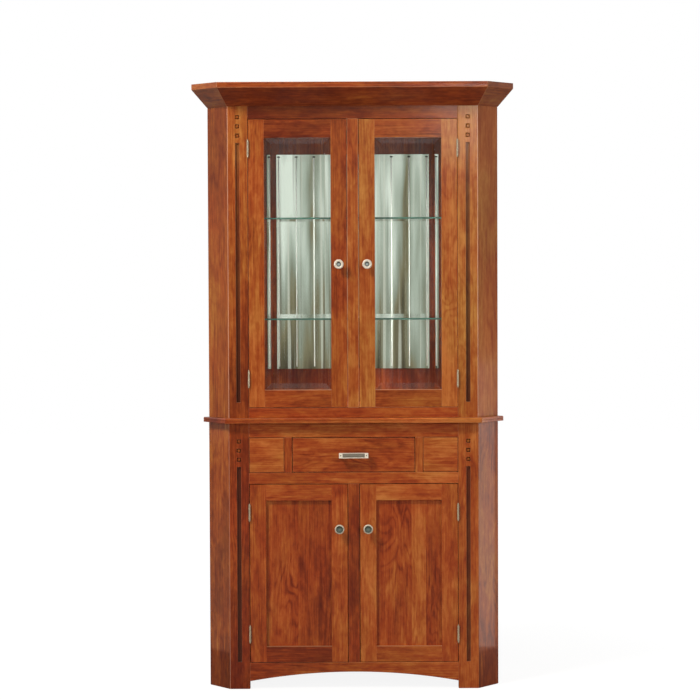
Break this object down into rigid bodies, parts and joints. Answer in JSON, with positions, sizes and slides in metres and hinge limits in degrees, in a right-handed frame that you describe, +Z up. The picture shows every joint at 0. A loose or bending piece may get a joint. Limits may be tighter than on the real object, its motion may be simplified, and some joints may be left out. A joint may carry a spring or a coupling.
{
  "type": "corner hutch",
  "caption": "Tall corner hutch: a glazed display case with mirror and glass shelves stands on a panelled cupboard base with a drawer, its corners cut at 45 degrees.",
  "frame": {"origin": "on the floor, below the middle of the outline's bounding box", "axes": "+X to the right of someone who faces the doors, +Y to the back, into the room's corner, +Z up"},
  "size_m": [1.0784, 0.345, 2.032],
  "materials": {
    "moulding_wood": "stained and lacquered cherry, semi-gloss",
    "rail_wood": "stained and lacquered cherry, semi-gloss",
    "stile_wood": "stained and lacquered cherry, semi-gloss",
    "side_wood": "stained and lacquered cherry, semi-gloss",
    "wall_wood": "stained plywood, satin",
    "board_wood": "stained and lacquered cherry, semi-gloss",
    "drawer_wood": "clear lacquered poplar, satin",
    "front_wood": "stained and lacquered cherry, semi-gloss",
    "door_wood": "stained and lacquered cherry, semi-gloss",
    "panel_wood": "stained and lacquered cherry, semi-gloss",
    "peg_wood": "cherry end grain, satin",
    "nickel": "satin nickel plate",
    "hinge_nickel": "satin nickel plate",
    "pin_steel": "zinc plate",
    "catch_plastic": "dark brown, matte",
    "mirror": "silvered glass with cut lines",
    "shelf_glass": "clear, polished edges",
    "pane_glass": "clear, bevelled"
  },
  "bodies": {
    "case": {"crown_front": "moulding_wood", "crown_left": "moulding_wood", "crown_right": "moulding_wood", "upper_top": "board_wood", "upper_floor": "board_wood", "upper_stile_left": "stile_wood", "upper_stile_right": "stile_wood", "upper_top_rail": "rail_wood", "upper_bottom_rail": "rail_wood", "upper_mullion": "stile_wood", "upper_side_left": "side_wood", "upper_side_right": "side_wood", "upper_wall_left": "wall_wood", "upper_wall_right": "wall_wood", "upper_back": "wall_wood", "back_mirror": "mirror", "glass_shelves": "shelf_glass", "shelf_pins": "pin_steel", "inlay_pegs": "peg_wood", "waist_board": "moulding_wood", "base_stile_left": "stile_wood", "base_stile_right": "stile_wood", "base_top_rail": "rail_wood", "base_mid_rail": "rail_wood", "base_bottom_rail": "rail_wood", "base_mullion": "stile_wood", "drawer_dividers": "stile_wood", "false_fronts": "front_wood", "base_side_left": "side_wood", "base_side_right": "side_wood", "base_wall_left": "wall_wood", "base_wall_right": "wall_wood", "base_back": "wall_wood", "base_floor": "board_wood", "base_shelf": "board_wood", "drawer_runners": "drawer_wood", "hinge_frame_leaves": "hinge_nickel", "hinge_pins": "hinge_nickel", "door_catches": "catch_plastic"},
    "upper_left_door": {"upper_left_door_frame": "door_wood", "upper_left_glass": "pane_glass", "upper_left_knob": "nickel", "upper_left_door_fittings": "hinge_nickel"},
    "upper_right_door": {"upper_right_door_frame": "door_wood", "upper_right_glass": "pane_glass", "upper_right_knob": "nickel", "upper_right_door_fittings": "hinge_nickel"},
    "lower_left_door": {"lower_left_door_frame": "door_wood", "lower_left_panel": "panel_wood", "lower_left_knob": "nickel", "lower_left_door_fittings": "hinge_nickel"},
    "lower_right_door": {"lower_right_door_frame": "door_wood", "lower_right_panel": "panel_wood", "lower_right_knob": "nickel", "lower_right_door_fittings": "hinge_nickel"},
    "drawer": {"drawer_front": "front_wood", "drawer_sides": "drawer_wood", "drawer_back": "drawer_wood", "drawer_bottom": "drawer_wood", "drawer_pull": "nickel"}
  },
  "joints": [
    {"name": "upper_left_door_hinge", "type": "hinge", "parent": "case", "child": "upper_left_door", "pos_m": [-0.35, -0.1059, 1.4305], "axis": [0, 0, -1], "range_deg": [0, 150]},
    {"name": "upper_right_door_hinge", "type": "hinge", "parent": "case", "child": "upper_right_door", "pos_m": [0.35, -0.1059, 1.4305], "axis": [0, 0, 1], "range_deg": [0, 150]},
    {"name": "lower_left_door_hinge", "type": "hinge", "parent": "case", "child": "lower_left_door", "pos_m": [-0.35, -0.1059, 0.3905], "axis": [0, 0, -1], "range_deg": [0, 150]},
    {"name": "lower_right_door_hinge", "type": "hinge", "parent": "case", "child": "lower_right_door", "pos_m": [0.35, -0.1059, 0.3905], "axis": [0, 0, 1], "range_deg": [0, 150]},
    {"name": "drawer_slide", "type": "slide", "parent": "case", "child": "drawer", "axis": [0, -1, 0], "range_m": [0, 0.16]}
  ]
}
